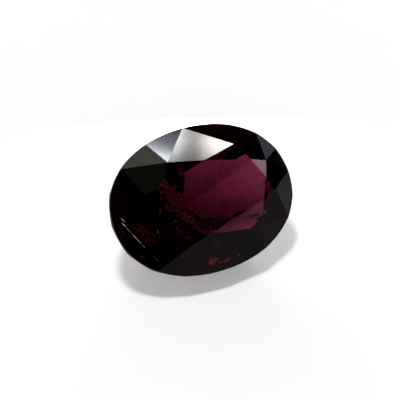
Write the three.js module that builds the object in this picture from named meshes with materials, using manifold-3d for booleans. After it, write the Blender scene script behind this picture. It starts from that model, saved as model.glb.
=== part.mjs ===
// A faceted oval gemstone, lying tilted on one of its lower facets.
// Millimetres, +Z up. X runs along the stone's length, and the stone leans about X towards -Y.
//
// The stone is shaped as a cutter shapes it: a rough with an oval outline, then one flat facet after
// another, each taking away all that lies outside its plane. It is worked out with its table level,
// in the cutter's frame: x along the length, y across, z up through the table, and z = 0 on the
// upper edge of the girdle. The last lines tip it over onto the surface.
import * as THREE from "three";
import { mergeVertices } from "three/addons/utils/BufferGeometryUtils.js";
import Module from "manifold-3d";

// Outline
const LENGTH = 9;
const WIDTH = 7;
const SQUARENESS = 2.13; // exponent of the oval: 2 is an ellipse, a larger one fills the corners
const OUTLINE_SIDES = 96;

// Heights, from the girdle's upper edge up to the table and from its lower edge down to the culet
const CROWN_HEIGHT = 1.35;
const GIRDLE_THICKNESS = 0.22;
const PAVILION_DEPTH = 4.1;

// Crown: a table with eight corners, off the middle as the cutter left it, eight star facets round
// it, eight kites from its corners to the girdle, and sixteen upper girdle facets between the kites
const TABLE_END = 2.63; // from the table's middle to its corner at each end
const TABLE_SIDE = 1.59; // to its corner at each side
const TABLE_CORNER = [2.19, 1.01]; // to the four corners between
const TABLE_SHIFT = [0.29, 0.08];
const STAR_DROP_END = 0.32; // how far each star's tip lies below the table
const STAR_DROP_SIDE = 0.28;
const KITE_STOPS = [2, 40, 89, 137, 180, 228, 270, 327]; // where each kite meets the girdle, in degrees

// Pavilion: eight main facets down to the culet, and sixteen steeper facets under the girdle.
// Each slope is an angle from level. The stone rests on the main facet that faces -y.
const MAIN_SLOPES = [37.9, 41.3, 40.5, 44.6, 40.8, 44.3, 39.3, 36.8];
const MAIN_HEADINGS = [-6.9, 56.2, 94.5, 125.4, 168.7, 214.9, 270, 333.9];
const CULET = [-0.53, -0.04];
const KEEL = 0.1; // how far the mains that face the stone's ends are set out from the culet along x
const LOWER_COUNT = 16;
const LOWER_SLOPE_END = 61.3; // of the steeper facets, at the stone's ends
const LOWER_SLOPE_SIDE = 68; // and in the middle of its long sides
const RESTING_FACET = 6;

const SPARE = 1; // rough left above the table and below the culet, all of it ground away
const WHEEL = 30; // the block taken away outside a facet, larger than the stone

const wasm = await Module();
wasm.setup();

const radians = THREE.MathUtils.degToRad;
const UP = new THREE.Vector3(0, 0, 1);
const INSIDE = new THREE.Vector3(0, 0, -GIRDLE_THICKNESS);

function solidOf(geometry) {
  geometry.deleteAttribute("normal");
  geometry.deleteAttribute("uv");
  const merged = mergeVertices(geometry);
  const mesh = new wasm.Mesh({
    numProp: 3,
    vertProperties: merged.attributes.position.array,
    triVerts: new Uint32Array(merged.index.array),
  });
  return new wasm.Manifold(mesh);
}

function geometryOf(solid) {
  const mesh = solid.getMesh();
  const geometry = new THREE.BufferGeometry();
  geometry.setAttribute("position", new THREE.BufferAttribute(mesh.vertProperties, 3));
  geometry.setIndex(new THREE.BufferAttribute(mesh.triVerts, 1));
  return geometry;
}

// A point on the girdle's oval. Its angle is the ellipse's own, 90 at the middle of the long side.
function onGirdle(degrees) {
  const c = Math.cos(radians(degrees));
  const s = Math.sin(radians(degrees));
  const x = (LENGTH / 2) * Math.sign(c) * Math.abs(c) ** (2 / SQUARENESS);
  const y = (WIDTH / 2) * Math.sign(s) * Math.abs(s) ** (2 / SQUARENESS);
  return new THREE.Vector3(x, y, 0);
}

// The level direction straight out of the girdle at that point.
function outOfGirdle(degrees) {
  const p = onGirdle(degrees);
  const across = (value, half) => (Math.sign(value) * Math.abs(value / half) ** (SQUARENESS - 1)) / half;
  return new THREE.Vector3(across(p.x, LENGTH / 2), across(p.y, WIDTH / 2), 0).normalize();
}

// The rough: the oval outline, straight up and down, taller than the finished stone.
function rough() {
  const outline = new THREE.Shape();
  for (let i = 0; i < OUTLINE_SIDES; i++) {
    const p = onGirdle((i * 360) / OUTLINE_SIDES);
    if (i === 0) outline.moveTo(p.x, p.y);
    else outline.lineTo(p.x, p.y);
  }
  const down = GIRDLE_THICKNESS + PAVILION_DEPTH + SPARE;
  const depth = down + CROWN_HEIGHT + SPARE;
  const geometry = new THREE.ExtrudeGeometry(outline, { depth, bevelEnabled: false });
  return solidOf(geometry.translate(0, 0, -down));
}

// Grinds one facet: everything outside the plane goes.
function grind(stone, plane) {
  const block = new THREE.BoxGeometry(WHEEL, WHEEL, WHEEL);
  block.translate(0, 0, WHEEL / 2 - plane.constant);
  const turn = new THREE.Quaternion().setFromUnitVectors(UP, plane.normal);
  return stone.subtract(solidOf(block.applyQuaternion(turn)));
}

// A facet through three points, facing away from the middle of the stone.
function facetThrough(a, b, c) {
  const plane = new THREE.Plane().setFromCoplanarPoints(a, b, c);
  return plane.distanceToPoint(INSIDE) > 0 ? plane.negate() : plane;
}

// The facets of the crown, from the table outwards.
function crownFacets() {
  const middle = new THREE.Vector3(TABLE_SHIFT[0], TABLE_SHIFT[1], CROWN_HEIGHT);
  const corner = (x, y) => new THREE.Vector3(x, y, 0).add(middle);
  const [cx, cy] = TABLE_CORNER;
  const corners = [
    corner(TABLE_END, 0),
    corner(cx, cy),
    corner(0, TABLE_SIDE),
    corner(-cx, cy),
    corner(-TABLE_END, 0),
    corner(-cx, -cy),
    corner(0, -TABLE_SIDE),
    corner(cx, -cy),
  ];
  const feet = KITE_STOPS.map(onGirdle);

  // Each kite touches the girdle at its foot and holds one corner of the table.
  const kites = corners.map((top, i) => {
    const out = outOfGirdle(KITE_STOPS[i]);
    const along = new THREE.Vector3(-out.y, out.x, 0).add(feet[i]);
    return facetThrough(feet[i], along, top);
  });

  const facets = [new THREE.Plane(UP, -CROWN_HEIGHT), ...kites];
  for (let i = 0; i < kites.length; i++) {
    const next = (i + 1) % kites.length;
    const drop = i % 4 === 0 || i % 4 === 3 ? STAR_DROP_END : STAR_DROP_SIDE;
    const tip = meetAt(kites[i], kites[next], CROWN_HEIGHT - drop);
    const stop = KITE_STOPS[i];
    const nextStop = KITE_STOPS[next] + (next === 0 ? 360 : 0);
    const between = onGirdle((stop + nextStop) / 2);
    facets.push(facetThrough(corners[i], tip, corners[next]));
    facets.push(facetThrough(feet[i], tip, between));
    facets.push(facetThrough(between, tip, feet[next]));
  }
  return facets;
}

// Where two facets cross at a given height.
function meetAt(a, b, height) {
  const ra = -a.constant - a.normal.z * height;
  const rb = -b.constant - b.normal.z * height;
  const across = a.normal.x * b.normal.y - a.normal.y * b.normal.x;
  const x = (ra * b.normal.y - rb * a.normal.y) / across;
  const y = (a.normal.x * rb - b.normal.x * ra) / across;
  return new THREE.Vector3(x, y, height);
}

// A facet that faces down and out, at a slope from level, through a point.
function lowerFacet(out, slope, point) {
  const normal = out.clone().multiplyScalar(Math.sin(radians(slope)));
  normal.z = -Math.cos(radians(slope));
  return new THREE.Plane().setFromNormalAndCoplanarPoint(normal, point);
}

function pavilionFacets() {
  const culet = new THREE.Vector3(...CULET, -GIRDLE_THICKNESS - PAVILION_DEPTH);
  const facets = MAIN_SLOPES.map((slope, i) => {
    const heading = radians(MAIN_HEADINGS[i]);
    const out = new THREE.Vector3(Math.cos(heading), Math.sin(heading), 0);
    const facesEnd = Math.abs(out.x) > Math.abs(out.y) / 2;
    const keel = new THREE.Vector3(facesEnd ? KEEL * Math.sign(out.x) : 0, 0, 0);
    return lowerFacet(out, slope, keel.add(culet));
  });
  for (let i = 0; i < LOWER_COUNT; i++) {
    const stop = ((i + 0.5) * 360) / LOWER_COUNT;
    const edge = onGirdle(stop).setZ(-GIRDLE_THICKNESS);
    const slope = THREE.MathUtils.lerp(LOWER_SLOPE_END, LOWER_SLOPE_SIDE, Math.abs(Math.sin(radians(stop))));
    facets.push(lowerFacet(outOfGirdle(stop), slope, edge));
  }
  return facets;
}

const cut = [...crownFacets(), ...pavilionFacets()].reduce(grind, rough());

const material = new THREE.MeshStandardMaterial({ color: "#4c1026", roughness: 0.05, metalness: 0, flatShading: true });
const gemstone = new THREE.Mesh(geometryOf(cut), material);
gemstone.name = "gemstone";

// Tip the stone over onto its resting facet, then set it on Z = 0 with its middle over the origin.
gemstone.rotation.x = radians(MAIN_SLOPES[RESTING_FACET]);
gemstone.updateMatrixWorld(true);
const box = new THREE.Box3().setFromObject(gemstone, true);
const middle = box.getCenter(new THREE.Vector3());
gemstone.position.set(-middle.x, -middle.y, -box.min.z);

const part = new THREE.Group();
part.add(gemstone);
export default part;
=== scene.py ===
"""Looks for a faceted oval gemstone: a cut and polished stone that lies on one of its lower facets, with the
natural flaws that show inside it. Metres, +Z up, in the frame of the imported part."""
import math
import random

import bmesh
import bpy
from mathutils import Matrix, Vector


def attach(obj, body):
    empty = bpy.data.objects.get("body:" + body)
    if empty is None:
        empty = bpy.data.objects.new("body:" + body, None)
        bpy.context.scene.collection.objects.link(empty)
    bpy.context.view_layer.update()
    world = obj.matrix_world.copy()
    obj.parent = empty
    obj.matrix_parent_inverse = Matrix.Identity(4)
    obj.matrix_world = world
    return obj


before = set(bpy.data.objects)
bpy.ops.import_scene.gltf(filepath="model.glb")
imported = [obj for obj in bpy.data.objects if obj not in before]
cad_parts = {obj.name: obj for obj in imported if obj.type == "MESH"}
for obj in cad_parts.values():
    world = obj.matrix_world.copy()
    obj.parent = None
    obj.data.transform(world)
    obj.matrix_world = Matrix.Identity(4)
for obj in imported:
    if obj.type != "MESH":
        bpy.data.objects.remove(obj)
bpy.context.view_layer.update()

# The stone. One crystal of dark purplish red tourmaline, ground facet by facet and polished. Its solid is the
# cut shape already and takes only a material: clear glass with the crystal's refraction, which takes green and
# blue out of the light inside. The girdle, the narrow band round its edge, stays as the wheel leaves it.
MILLIMETRE = 0.001
TABLE_LEAN = math.radians(39.3)
REFRACTION = 1.63
TAKEN_PER_MM = (0.35, 0.66, 0.56)  # how fast red, green and blue fade on their way through
DENSITY = 700
BODY_COLOUR = (0.255, 0.088, 0.158)
CLOUDED_COLOUR = (0.211, 0.060, 0.118)
CLOUD_SIZE = 0.22 * MILLIMETRE
CLOUD_RANGE = (0.45, 0.7)  # of the noise, from clear to clouded
GIRDLE_LEAN = (0.08, 0.04)  # how far a face leans to the table's side where the girdle begins and is whole
GIRDLE_ROUGHNESS = 0.45
POLISH_ROUGHNESS = 0.012
POLISH_SIZE = 1.1 * MILLIMETRE
POLISH_RANGE = (0.4, 0.7)
POLISH_DEPTH = 0.0012 * MILLIMETRE
FINE_DETAIL = 3
PLAIN_DETAIL = 1


def number(nodes, links, operation, *values):
    """The output of a Math node on values that are numbers or other nodes' outputs."""
    node = nodes.new("ShaderNodeMath")
    node.operation = operation
    for socket, value in zip(node.inputs, values):
        if isinstance(value, (int, float)):
            socket.default_value = value
        else:
            links.new(value, socket)
    return node.outputs[0]


def reach(nodes, links, vector, line):
    """How far a vector reaches along a line."""
    node = nodes.new("ShaderNodeVectorMath")
    node.operation = "DOT_PRODUCT"
    links.new(vector, node.inputs[0])
    node.inputs[1].default_value = line
    return node.outputs["Value"]


def cloud(nodes, links, size, detail):
    """Soft noise in the stone's own coordinates, with patches of about the size."""
    noise = nodes.new("ShaderNodeTexNoise")
    noise.inputs["Scale"].default_value = 1 / size
    noise.inputs["Detail"].default_value = detail
    links.new(nodes.new("ShaderNodeTexCoord").outputs["Object"], noise.inputs["Vector"])
    return noise.outputs["Fac"]


def spread(nodes, links, value, low, high, to_low=0.0, to_high=1.0, curve="LINEAR"):
    """The value, with low to high turned into to_low to to_high and nothing beyond them."""
    node = nodes.new("ShaderNodeMapRange")
    node.interpolation_type = curve
    links.new(value, node.inputs["Value"])
    for name, setting in zip(("From Min", "From Max", "To Min", "To Max"), (low, high, to_low, to_high)):
        node.inputs[name].default_value = setting
    return node.outputs["Result"]


def mottled():
    """A node group that mixes a light and a dark colour in soft patches, in the piece's own coordinates."""
    group = bpy.data.node_groups.new("mottled", "ShaderNodeTree")
    for name, kind in (
        ("Light", "NodeSocketColor"),
        ("Dark", "NodeSocketColor"),
        ("Fineness", "NodeSocketFloat"),
        ("Dark From", "NodeSocketFloat"),
        ("Dark To", "NodeSocketFloat"),
    ):
        group.interface.new_socket(name, in_out="INPUT", socket_type=kind)
    group.interface.new_socket("Colour", in_out="OUTPUT", socket_type="NodeSocketColor")
    nodes, links = group.nodes, group.links
    given = nodes.new("NodeGroupInput").outputs
    noise = nodes.new("ShaderNodeTexNoise")
    noise.inputs["Detail"].default_value = FINE_DETAIL
    links.new(nodes.new("ShaderNodeTexCoord").outputs["Object"], noise.inputs["Vector"])
    links.new(given["Fineness"], noise.inputs["Scale"])
    share = nodes.new("ShaderNodeMapRange")
    links.new(noise.outputs["Fac"], share.inputs["Value"])
    links.new(given["Dark From"], share.inputs["From Min"])
    links.new(given["Dark To"], share.inputs["From Max"])
    mix = nodes.new("ShaderNodeMix")
    mix.data_type = "RGBA"
    links.new(share.outputs["Result"], mix.inputs["Factor"])
    links.new(given["Light"], mix.inputs["A"])
    links.new(given["Dark"], mix.inputs["B"])
    links.new(mix.outputs["Result"], nodes.new("NodeGroupOutput").inputs["Colour"])
    return group


MOTTLED = mottled()


def mottle(nodes, links, surface, light, dark, size, dark_range):
    """Gives a surface the mottled colour, with patches of about the size."""
    node = nodes.new("ShaderNodeGroup")
    node.node_tree = MOTTLED
    node.inputs["Light"].default_value = (*light, 1)
    node.inputs["Dark"].default_value = (*dark, 1)
    node.inputs["Fineness"].default_value = 1 / size
    node.inputs["Dark From"].default_value, node.inputs["Dark To"].default_value = dark_range
    links.new(node.outputs["Colour"], surface.inputs["Base Color"])


def tourmaline():
    material = bpy.data.materials.new("tourmaline")
    material.use_nodes = True
    nodes, links = material.node_tree.nodes, material.node_tree.links
    surface = nodes["Principled BSDF"]
    surface.inputs["IOR"].default_value = REFRACTION
    surface.inputs["Transmission Weight"].default_value = 1

    mottle(nodes, links, surface, BODY_COLOUR, CLOUDED_COLOUR, CLOUD_SIZE, CLOUD_RANGE)

    # Only the girdle stands square to the table.
    out = nodes.new("ShaderNodeNewGeometry").outputs["True Normal"]
    facing = reach(nodes, links, out, (0, -math.sin(TABLE_LEAN), math.cos(TABLE_LEAN)))
    upright = spread(nodes, links, number(nodes, links, "ABSOLUTE", facing), *GIRDLE_LEAN)
    ground = number(nodes, links, "MULTIPLY", upright, GIRDLE_ROUGHNESS)
    haze = cloud(nodes, links, POLISH_SIZE, FINE_DETAIL)
    polished = spread(nodes, links, haze, *POLISH_RANGE, 0, POLISH_ROUGHNESS)
    links.new(number(nodes, links, "MAXIMUM", ground, polished), surface.inputs["Roughness"])

    worn = nodes.new("ShaderNodeBump")
    worn.inputs["Distance"].default_value = POLISH_DEPTH
    links.new(cloud(nodes, links, POLISH_SIZE, PLAIN_DETAIL), worn.inputs["Height"])
    links.new(worn.outputs["Normal"], surface.inputs["Normal"])

    depth = nodes.new("ShaderNodeVolumeAbsorption")
    kept = [1 - taken / MILLIMETRE / DENSITY for taken in TAKEN_PER_MM]
    depth.inputs["Color"].default_value = (*kept, 1)
    depth.inputs["Density"].default_value = DENSITY
    links.new(depth.outputs["Volume"], nodes["Material Output"].inputs["Volume"])
    return material


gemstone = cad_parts["gemstone"]
gemstone.data.materials.clear()
gemstone.data.materials.append(tourmaline())

# The white fissures. Two hair cracks near the stone's left end reach its surface, and the air in them shines
# white. The long one runs over three facets and comes up again fainter, lower down.
GIRDLE_MIDDLE = Vector((0, -0.355, 3.368))
FISSURES = (
    # start, end and width of each straight stretch, in millimetres from the middle of the girdle
    ((-4.10, -0.01, 0.33), (-3.97, -0.24, 0.22), 0.020),
    ((-4.14, -0.11, 0.19), (-4.00, -0.40, 0.07), 0.030),
    ((-4.02, -0.38, 0.07), (-3.78, -0.81, -0.19), 0.014),
    ((-3.83, -0.74, -0.14), (-3.56, -1.24, -0.43), 0.016),
    ((-3.57, -1.21, -0.42), (-3.44, -1.38, -0.60), 0.012),
)
FAINT_FISSURES = (
    ((-3.20, -1.66, -0.93), (-2.98, -1.90, -1.23), 0.016),
    ((-3.28, -1.60, -1.02), (-3.12, -1.78, -1.22), 0.012),
)
WHITE_BREAK = ((0.56, 0.52, 0.54), (0.28, 0.24, 0.25))
FAINT_BREAK = ((0.055, 0.05, 0.052), (0.03, 0.027, 0.028))
FISSURE_THICKNESS = 0.03
OVERLAP = 1.12
BREAK_ROUGHNESS = 0.6
BREAK_SIZE = 0.08 * MILLIMETRE
BREAK_RANGE = (0.4, 0.6)

# The ways that the facets over the flaws face.
TABLE = Vector((0, -0.63, 0.77)).normalized()
LEFT = Vector((-0.56, -0.60, 0.57)).normalized()
CORNER = Vector((-0.31, -0.88, 0.37)).normalized()
FRONT = Vector((0, -0.96, 0.28)).normalized()
RIGHT = Vector((0.46, -0.75, 0.46)).normalized()


def lens(shape, middle, along, out, length, width, thickness):
    """Adds one flat pointed grain, in millimetres: long in one direction and thin in another."""
    along = along.normalized()
    out = (out - along * out.dot(along)).normalized()
    turn = Matrix((along, out.cross(along), out)).transposed().to_4x4()
    size = Matrix.Diagonal((length / 2, width / 2, thickness / 2, 1))
    place = Matrix.Scale(MILLIMETRE, 4) @ Matrix.Translation(GIRDLE_MIDDLE + middle) @ turn @ size
    bmesh.ops.create_icosphere(shape, subdivisions=1, radius=1, matrix=place)


def broken_crystal(name, light, dark):
    """Dull broken crystal, mottled between two colours."""
    material = bpy.data.materials.new(name)
    material.use_nodes = True
    nodes, links = material.node_tree.nodes, material.node_tree.links
    surface = nodes["Principled BSDF"]
    surface.inputs["Roughness"].default_value = BREAK_ROUGHNESS
    mottle(nodes, links, surface, light, dark, BREAK_SIZE, BREAK_RANGE)
    return material


def flaw(name, shape, material):
    """Makes a bmesh of grains one piece, with the material that it is given."""
    mesh = bpy.data.meshes.new(name)
    shape.to_mesh(mesh)
    shape.free()
    mesh.materials.append(material)
    piece = bpy.data.objects.new(name, mesh)
    bpy.context.scene.collection.objects.link(piece)
    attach(piece, "root")


def crack(name, stretches, out, thickness, overlap, material):
    """Makes a row of straight stretches one piece, lying flat under a facet."""
    shape = bmesh.new()
    for start, end, width in stretches:
        start, end = Vector(start), Vector(end)
        length = (end - start).length * overlap
        lens(shape, (start + end) / 2, end - start, out, length, width, thickness)
    flaw(name, shape, material)


crack("fissures", FISSURES, LEFT, FISSURE_THICKNESS, OVERLAP, broken_crystal("fissures", *WHITE_BREAK))
crack("faint_fissures", FAINT_FISSURES, LEFT, FISSURE_THICKNESS, OVERLAP,
      broken_crystal("faint_fissures", *FAINT_BREAK))

# The flecks. Small flat breaks inside the stone, strung out in loose clouds a little under the crown's facets.
# Light crosses the red crystal to reach them, so even pale breaks look pink from outside, and the ones that
# look grey are greenish. Some clouds are painted light and shade in the window instead, marked where they
# stand. A cloud keeps only the grains whose two tips lie under every facet.
FINISHES = {
    "pale_break": ((0.85, 0.70, 0.72), (0.45, 0.28, 0.31)),
    "grey_break": ((0.30, 0.88, 0.50), (0.12, 0.34, 0.20)),
    "rusty_break": ((0.80, 0.22, 0.10), (0.45, 0.09, 0.06)),
    "dull_break": ((0.26, 0.07, 0.08), (0.10, 0.02, 0.03)),
    "crimson_break": ((0.45, 0.10, 0.12), (0.22, 0.03, 0.04)),
    "pink_break": ((0.90, 0.32, 0.50), (0.50, 0.12, 0.22)),
    "magenta_break": ((0.42, 0.06, 0.22), (0.22, 0.025, 0.10)),
    # Dark breaks, and also painted shade where the window's light ends.
    "dark_break_and_shade": ((0.045, 0.010, 0.012), (0.02, 0.005, 0.006)),
    # Dull crimson veil, and also painted light standing in for the window's own light.
    "veil_and_window_light": ((0.26, 0.037, 0.06), (0.14, 0.017, 0.028)),
}
CLOUDS = (
    # name, start, end, facet above, how loose, number of grains, size of a grain and finish
    ("rim_flecks", (-4.30, -0.10, -0.10), (-4.18, -0.55, -0.55), LEFT, 0.09, 45, 0.026, "grey_break"),
    ("upper_rim_flecks", (-3.70, 1.45, 0.95), (-4.25, 0.60, 0.15), LEFT, 0.16, 140, 0.026, "grey_break"),
    ("upper_dust", (-3.70, 1.20, 0.85), (-3.60, 0.10, 0.45), LEFT, 0.32, 240, 0.032, "dull_break"),
    ("side_feather", (-3.56, -0.42, 0.12), (-3.00, -1.25, -0.30), LEFT, 0.17, 260, 0.030, "rusty_break"),
    ("side_dust", (-4.10, -0.50, -0.45), (-2.90, -0.85, 0.15), LEFT, 0.32, 300, 0.032, "dull_break"),
    ("bright_break", (-2.75, -1.25, 0.12), (-2.70, -1.42, -0.24), CORNER, 0.02, 10, 0.055, "pale_break"),
    ("corner_spot", (-3.72, -1.33, -1.05), (-3.50, -1.54, -1.26), CORNER, 0.06, 26, 0.070, "veil_and_window_light"),
    ("corner_streaks", (-1.95, -1.58, 0.09), (-1.40, -1.72, 0.05), CORNER, 0.02, 8, 0.060, "dull_break"),
    ("front_patch", (-0.67, -2.40, -1.59), (-0.34, -2.46, -1.73), FRONT, 0.07, 40, 0.150, "rusty_break"),
    ("front_streak", (-0.21, -2.50, -1.88), (0.42, -2.47, -1.77), FRONT, 0.05, 60, 0.075, "pink_break"),
    ("front_flecks", (-0.29, -2.06, -0.55), (0.01, -2.20, -1.02), FRONT, 0.11, 110, 0.045, "magenta_break"),
    ("front_dust", (-1.35, -2.15, -1.05), (0.60, -2.40, -1.60), FRONT, 0.35, 260, 0.045, "veil_and_window_light"),
    ("low_flecks", (0.53, -2.34, -1.31), (0.88, -2.42, -1.84), FRONT, 0.09, 40, 0.040, "pale_break"),
    # Painted light: lit crimson grains that stand in for the window's light along its left edge.
    ("window_edge_light", (-1.75, -0.08, 1.46), (-1.45, -1.05, 0.66), TABLE, 0.20, 420, 0.140, "veil_and_window_light"),
    ("table_break", (-1.40, -1.08, 0.62), (-0.95, -1.60, 0.24), TABLE, 0.13, 110, 0.080, "crimson_break"),
    ("corner_veil", (-2.08, -1.28, 0.20), (-1.30, -1.75, -0.02), TABLE, 0.14, 200, 0.130, "dark_break_and_shade"),
    # Painted light: lit crimson grains that stand in for light at the window's top left corner.
    ("window_corner_light", (-1.05, 0.50, 1.88), (-0.85, 0.32, 1.80), TABLE, 0.08, 30, 0.110, "veil_and_window_light"),
    ("right_break", (2.87, -0.92, 0.77), (3.08, -1.13, 0.30), RIGHT, 0.10, 90, 0.110, "magenta_break"),
    # Painted shade: the next two clouds are dark grains that darken the window along its lower edge.
    ("lobe_edge_shade", (-0.80, -1.72, 0.17), (0.45, -1.79, 0.14), TABLE, 0.11, 260, 0.110, "dark_break_and_shade"),
    ("lobe_shade", (2.32, -1.93, -0.33), (1.72, -2.14, -0.64), RIGHT, 0.08, 170, 0.110, "dark_break_and_shade"),
    ("right_spot", (2.42, -1.79, -0.11), (2.51, -1.82, -0.31), RIGHT, 0.03, 14, 0.080, "rusty_break"),
    ("top_specks", (1.63, 0.70, 1.96), (2.07, 0.76, 1.93), TABLE, 0.05, 16, 0.050, "crimson_break"),
)
SEED = 7
GRAIN_LENGTHS = (0.6, 1.8)
GRAIN_WIDTH = 0.5
GRAIN_THICKNESS = 0.12
GRAIN_LEAN = 0.7
SKIN = 0.008 * MILLIMETRE
SMALL_FACE = 1e-9  # a sliver of a face, in square metres, too small to trust its normal
SAME_PLANE = 3  # decimals of the normal that faces of one facet share

facets = {}
for face in gemstone.data.polygons:
    if face.area > SMALL_FACE:
        out = (gemstone.matrix_world.to_3x3() @ face.normal).normalized()
        level = out.dot(gemstone.matrix_world @ face.center)
        facets[tuple(round(share, SAME_PLANE) for share in out)] = (out, level)


def inside(point):
    """Whether a point, in millimetres from the middle of the girdle, lies a little under every facet."""
    point = (GIRDLE_MIDDLE + point) * MILLIMETRE
    return all(out.dot(point) < level - SKIN for out, level in facets.values())


rng = random.Random(SEED)
finishes = {name: broken_crystal(name, *colours) for name, colours in FINISHES.items()}
for name, start, end, out, loose, count, grain, finish in CLOUDS:
    shape = bmesh.new()
    for _ in range(count):
        middle = Vector(start).lerp(Vector(end), rng.random())
        stray = Vector([rng.gauss(0, loose) for _ in range(3)])
        level = stray - out * stray.dot(out)
        middle += level - out * abs(rng.gauss(0, loose))
        along, lean = (Vector([rng.uniform(-1, 1) for _ in range(3)]) for _ in range(2))
        length = grain * rng.uniform(*GRAIN_LENGTHS)
        tip = along.normalized() * length / 2
        if inside(middle + tip) and inside(middle - tip):
            lens(shape, middle, along, out + lean * GRAIN_LEAN, length, length * GRAIN_WIDTH,
                 length * GRAIN_THICKNESS)
    flaw(name, shape, finishes[finish])

# The dark slivers: painted shade. Thin near-black slivers under the table, laid along the window's edges,
# show as thin dark lines across the window where its light stops.
SLIVERS = (
    # start, end and width
    ((0.74, -0.18, 1.53), (1.02, 0.02, 1.70), 0.05),
    ((0.71, -1.76, 0.24), (1.50, -1.71, 0.28), 0.15),
    ((1.50, -1.88, 0.04), (2.14, -1.89, -0.06), 0.14),
    ((-0.68, -1.57, 0.38), (0.05, -1.66, 0.31), 0.12),
    ((-0.09, -2.02, -0.05), (0.82, -1.76, 0.25), 0.13),
    ((0.00, -1.69, 0.29), (0.71, -1.77, 0.22), 0.05),
)
SLIVER_THICKNESS = 0.02
# Near-black: painted shade along the window's edges.
SLIVER_SHADE_COLOURS = ((0.015, 0.002, 0.006), (0.006, 0.001, 0.003))
crack("sliver_shade", SLIVERS, TABLE, SLIVER_THICKNESS, 1, broken_crystal("sliver_painted_shade", *SLIVER_SHADE_COLOURS))

# The surface it lies on. A plain white sheet of matt paper, wide enough to fill every view. The facets don't
# mirror it: what they show of it comes from the room below.
SHEET_SIZE = 2.0
SHEET_COLOUR = (0.8, 0.8, 0.8, 1)


def flat_square(name, size):
    """A flat square with its middle at the origin."""
    shape = bmesh.new()
    bmesh.ops.create_grid(shape, x_segments=1, y_segments=1, size=size / 2)
    mesh = bpy.data.meshes.new(name)
    shape.to_mesh(mesh)
    shape.free()
    piece = bpy.data.objects.new(name, mesh)
    bpy.context.scene.collection.objects.link(piece)
    return piece


paper = bpy.data.materials.new("white_sheet")
paper.use_nodes = True
surface = paper.node_tree.nodes["Principled BSDF"]
surface.inputs["Base Color"].default_value = SHEET_COLOUR
surface.inputs["Roughness"].default_value = 1
surface.inputs["Specular IOR Level"].default_value = 0
floor = flat_square("floor", SHEET_SIZE)
floor.data.materials.append(paper)
floor.visible_glossy = False

# The camera, at the photograph's angle: 46 degrees above the sheet and 22 degrees round from the stone's long
# side, far enough away for the photograph's flat perspective.
ELEVATION = math.radians(46.2)
ROUND = math.radians(22.39)
DISTANCE = 0.1
WIDTH_SEEN = 0.018904
AIM_RIGHT = -0.000113
AIM_UP = -0.00004
SENSOR = 36
right = Vector((math.cos(ROUND), -math.sin(ROUND), 0))
up = Vector((
    math.sin(ELEVATION) * math.sin(ROUND),
    math.sin(ELEVATION) * math.cos(ROUND),
    math.cos(ELEVATION),
))
back = right.cross(up)
aim = GIRDLE_MIDDLE * MILLIMETRE + right * AIM_RIGHT + up * AIM_UP
turn = Matrix((right, up, back)).transposed().to_4x4()
camera = bpy.data.objects.new("camera", bpy.data.cameras.new("camera"))
camera.data.sensor_width = SENSOR
camera.data.lens = SENSOR * DISTANCE / WIDTH_SEEN
camera.data.clip_start = MILLIMETRE
camera.matrix_world = Matrix.Translation(aim + back * DISTANCE) @ turn
bpy.context.scene.collection.objects.link(camera)
bpy.context.scene.camera = camera

# The lamps. A softbox high over the stone casts its shadow, and one beside the camera lights that shadow from
# the front, where its own stays hidden. A small one low behind the stone lights the sheet that shows through
# the table. The stone neither mirrors them nor lets them be seen through it.


def direction(heading, height):
    """The way that lies at a heading round Z and a height above level, in degrees."""
    a, b = math.radians(heading), math.radians(height)
    return Vector((math.cos(b) * math.cos(a), math.cos(b) * math.sin(a), math.sin(b)))


def softbox(name, heading, height, away, size, power):
    """A square lamp that faces the origin."""
    towards = direction(heading, height)
    turn = towards.to_track_quat("Z", "Y").to_matrix().to_4x4()
    lamp = bpy.data.objects.new(name, bpy.data.lights.new(name, "AREA"))
    lamp.data.size = size
    lamp.data.energy = power
    lamp.matrix_world = Matrix.Translation(towards * away) @ turn
    lamp.visible_camera = False
    lamp.visible_glossy = False
    lamp.visible_transmission = False
    bpy.context.scene.collection.objects.link(lamp)


# Heading and height in degrees, then how far away, the size and the power.
softbox("back_softbox", 112, 82, 0.6, 0.085, 2.10)
softbox("front_softbox", -112.4, 46, 0.6, 0.10, 0.80)
softbox("low_softbox", 70, 11, 0.0085, 0.003, 0.0009)

# The cards. Two lit panels stand behind the stone, and only its polished facets see them. One facet of the
# crown mirrors the first, which is brightest at its ends, and the facet to its left mirrors the second.
CARD_SIZE = 5 * MILLIMETRE
CARD_AWAY = 20
NEUTRAL, COOL, WARM = (1, 1, 1), (0.92, 0.96, 1.08), (1, 0.91, 0.86)
KITE_RAMP = (
    # place along the line in millimetres, brightness and colour
    (-1.8, 22, WARM),
    (-1.0, 20, WARM),
    (-0.5, 15.5, WARM),
    (0.0, 7.4, WARM),
    (0.45, 5.2, NEUTRAL),
    (0.9, 7.5, NEUTRAL),
    (1.3, 14, NEUTRAL),
    (1.8, 16, NEUTRAL),
)
SIDE_RAMP = (
    (-1.4, 1.0, NEUTRAL),
    (-0.8, 1.9, COOL),
    (-0.3, 2.8, COOL),
    (0.1, 5.0, COOL),
    (0.45, 9.5, COOL),
    (0.8, 15, NEUTRAL),
)


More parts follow.
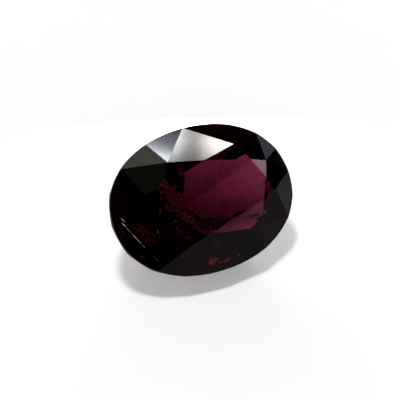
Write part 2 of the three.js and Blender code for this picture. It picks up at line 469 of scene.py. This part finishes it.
def card(name, heading, height, facet, ramp, line, fade):
    """A panel square to a direction from a facet. Its glow follows the ramp along a line across it, and fades
    towards its top between two places, to a share of itself."""
    towards = direction(heading, height)
    side = Vector((0, 0, 1)).cross(towards).normalized()
    panel = flat_square(name, CARD_SIZE)
    turn = Matrix((side, towards.cross(side), towards)).transposed().to_4x4()
    middle = (GIRDLE_MIDDLE + Vector(facet) + towards * CARD_AWAY) * MILLIMETRE
    panel.matrix_world = Matrix.Translation(middle) @ turn

    material = bpy.data.materials.new(name)
    material.use_nodes = True
    nodes, links = material.node_tree.nodes, material.node_tree.links
    nodes.remove(nodes["Principled BSDF"])
    place = nodes.new("ShaderNodeTexCoord").outputs["Object"]
    first, last = ramp[0][0], ramp[-1][0]
    brightest = max(level for _, level, _ in ramp)
    colours = nodes.new("ShaderNodeValToRGB")
    colours.color_ramp.interpolation = "B_SPLINE"
    stops = colours.color_ramp.elements
    while len(stops) < len(ramp):
        stops.new(0.5)
    for stop, (where, level, colour) in zip(stops, ramp):
        stop.position = (where - first) / (last - first)
        stop.color = (*[level / brightest * share for share in colour], 1)
    place_along = reach(nodes, links, place, line)
    along = spread(nodes, links, place_along, first * MILLIMETRE, last * MILLIMETRE)
    links.new(along, colours.inputs["Fac"])
    low, high, left = fade
    rise = reach(nodes, links, place, (0, 1, 0))
    fall = spread(nodes, links, rise, low * MILLIMETRE, high * MILLIMETRE, 1, left)
    glow = nodes.new("ShaderNodeEmission")
    links.new(colours.outputs["Color"], glow.inputs["Color"])
    links.new(number(nodes, links, "MULTIPLY", fall, brightest), glow.inputs["Strength"])
    links.new(glow.outputs["Emission"], nodes["Material Output"].inputs["Surface"])
    panel.data.materials.append(material)
    panel.visible_camera = False
    panel.visible_diffuse = False
    panel.visible_transmission = False
    panel.visible_shadow = False
    panel.visible_volume_scatter = False


# Heading and height in degrees, then the facet, the glow's ramp and line, and the fade.
card("kite_card", 64.4, 49.7, (0.38, 1.22, 2.14), KITE_RAMP, (1, 0, 0), (-0.3, 0.9, 0.28))
card("side_card", 79.3, 44.5, (-1.14, 1.86, 2.13), SIDE_RAMP, (0.7, 1, 0), (2, 3, 1))

# The room. White to the camera and to the flaws inside the stone, and brighter low down where it lights the
# sheet. It is dark where the stone looks out into it, and dim with a few soft glows where facets mirror it.
FILL_LOW = 3.0
FILL_ABOVE = 0.1
FILL_HEIGHTS = (0.25, 0.5)
ROOM_ON_FLAWS = 2.2
ROOM_SEEN_THROUGH = 0.01
ROOM_SEEN = 1.0
FLOOR_MIRRORED = 0.125
FLOOR_TINT = (1, 0.82, 0.88)
FLOOR_HEIGHTS = (-0.10, -0.16)
BOUNCES = 24
GLOWS = (
    # heading, height, spread and colour of each thing mirrored, angles in degrees
    (111, 50, 15, (0.80, 0.76, 0.70)),
    (0, 28, 10, (3.1, 1.8, 2.1)),
    (34, 3, 12, (0.30, 0.30, 0.37)),
    (-3, -17, 16, (0.24, 0.24, 0.24)),
    (-60, 12, 14, (0.12, 0.10, 0.11)),
    (139, 59, 10, (0.05, 0.05, 0.03)),
)
world = bpy.data.worlds.new("room")
world.use_nodes = True
nodes, links = world.node_tree.nodes, world.node_tree.links
place = nodes.new("ShaderNodeTexCoord").outputs["Generated"]


def scaled(colour, level):
    """A colour times a node's output."""
    node = nodes.new("ShaderNodeVectorMath")
    node.operation = "SCALE"
    node.inputs[0].default_value = colour
    links.new(level, node.inputs["Scale"])
    return node.outputs["Vector"]


def brighter(first, second):
    """The brighter of two colours, channel by channel."""
    node = nodes.new("ShaderNodeVectorMath")
    node.operation = "MAXIMUM"
    links.new(first, node.inputs[0])
    links.new(second, node.inputs[1])
    return node.outputs["Vector"]


VECTOR_A, VECTOR_B, VECTOR_RESULT = 4, 5, 1  # the Mix node's sockets for vectors


def choose(share, first, second):
    """Second where the share is 1, first where it is 0; a plain number there is a grey."""
    node = nodes.new("ShaderNodeMix")
    node.data_type = "VECTOR"
    links.new(share, node.inputs["Factor"])
    for socket, value in ((node.inputs[VECTOR_A], first), (node.inputs[VECTOR_B], second)):
        if isinstance(value, (int, float)):
            socket.default_value = (value, value, value)
        else:
            links.new(value, socket)
    return node.outputs[VECTOR_RESULT]


height = reach(nodes, links, place, (0, 0, 1))
mirrored = scaled(FLOOR_TINT, spread(nodes, links, height, *FLOOR_HEIGHTS, 0, FLOOR_MIRRORED))
for heading, rise, width, colour in GLOWS:
    near = number(nodes, links, "MINIMUM", reach(nodes, links, place, direction(heading, rise)), 1.0)
    away = number(nodes, links, "ARCCOSINE", near)
    edge = math.radians(width)
    glow = spread(nodes, links, away, edge, edge / 2, curve="SMOOTHSTEP")
    mirrored = brighter(mirrored, scaled(colour, glow))

# A ray's diffuse depth is 0 until it meets a flaw.
path = nodes.new("ShaderNodeLightPath").outputs
by_facet = number(nodes, links, "MULTIPLY", path["Is Glossy Ray"], path["Is Reflection Ray"])
seen_direct = number(nodes, links, "LESS_THAN", path["Diffuse Depth"], 0.5)
through = number(nodes, links, "MULTIPLY", path["Is Transmission Ray"], seen_direct)
from_flaw = number(nodes, links, "SUBTRACT", path["Is Transmission Ray"], through)
fill = spread(nodes, links, height, *FILL_HEIGHTS, FILL_LOW, FILL_ABOVE)
room = choose(by_facet, fill, mirrored)
room = choose(through, room, ROOM_SEEN_THROUGH)
room = choose(from_flaw, room, ROOM_ON_FLAWS)
room = choose(path["Is Camera Ray"], room, ROOM_SEEN)
links.new(room, nodes["Background"].inputs["Color"])
scene = bpy.context.scene
scene.world = world
scene.view_settings.view_transform = "Standard"
scene.cycles.max_bounces = BOUNCES
scene.cycles.glossy_bounces = BOUNCES
scene.cycles.transmission_bounces = BOUNCES
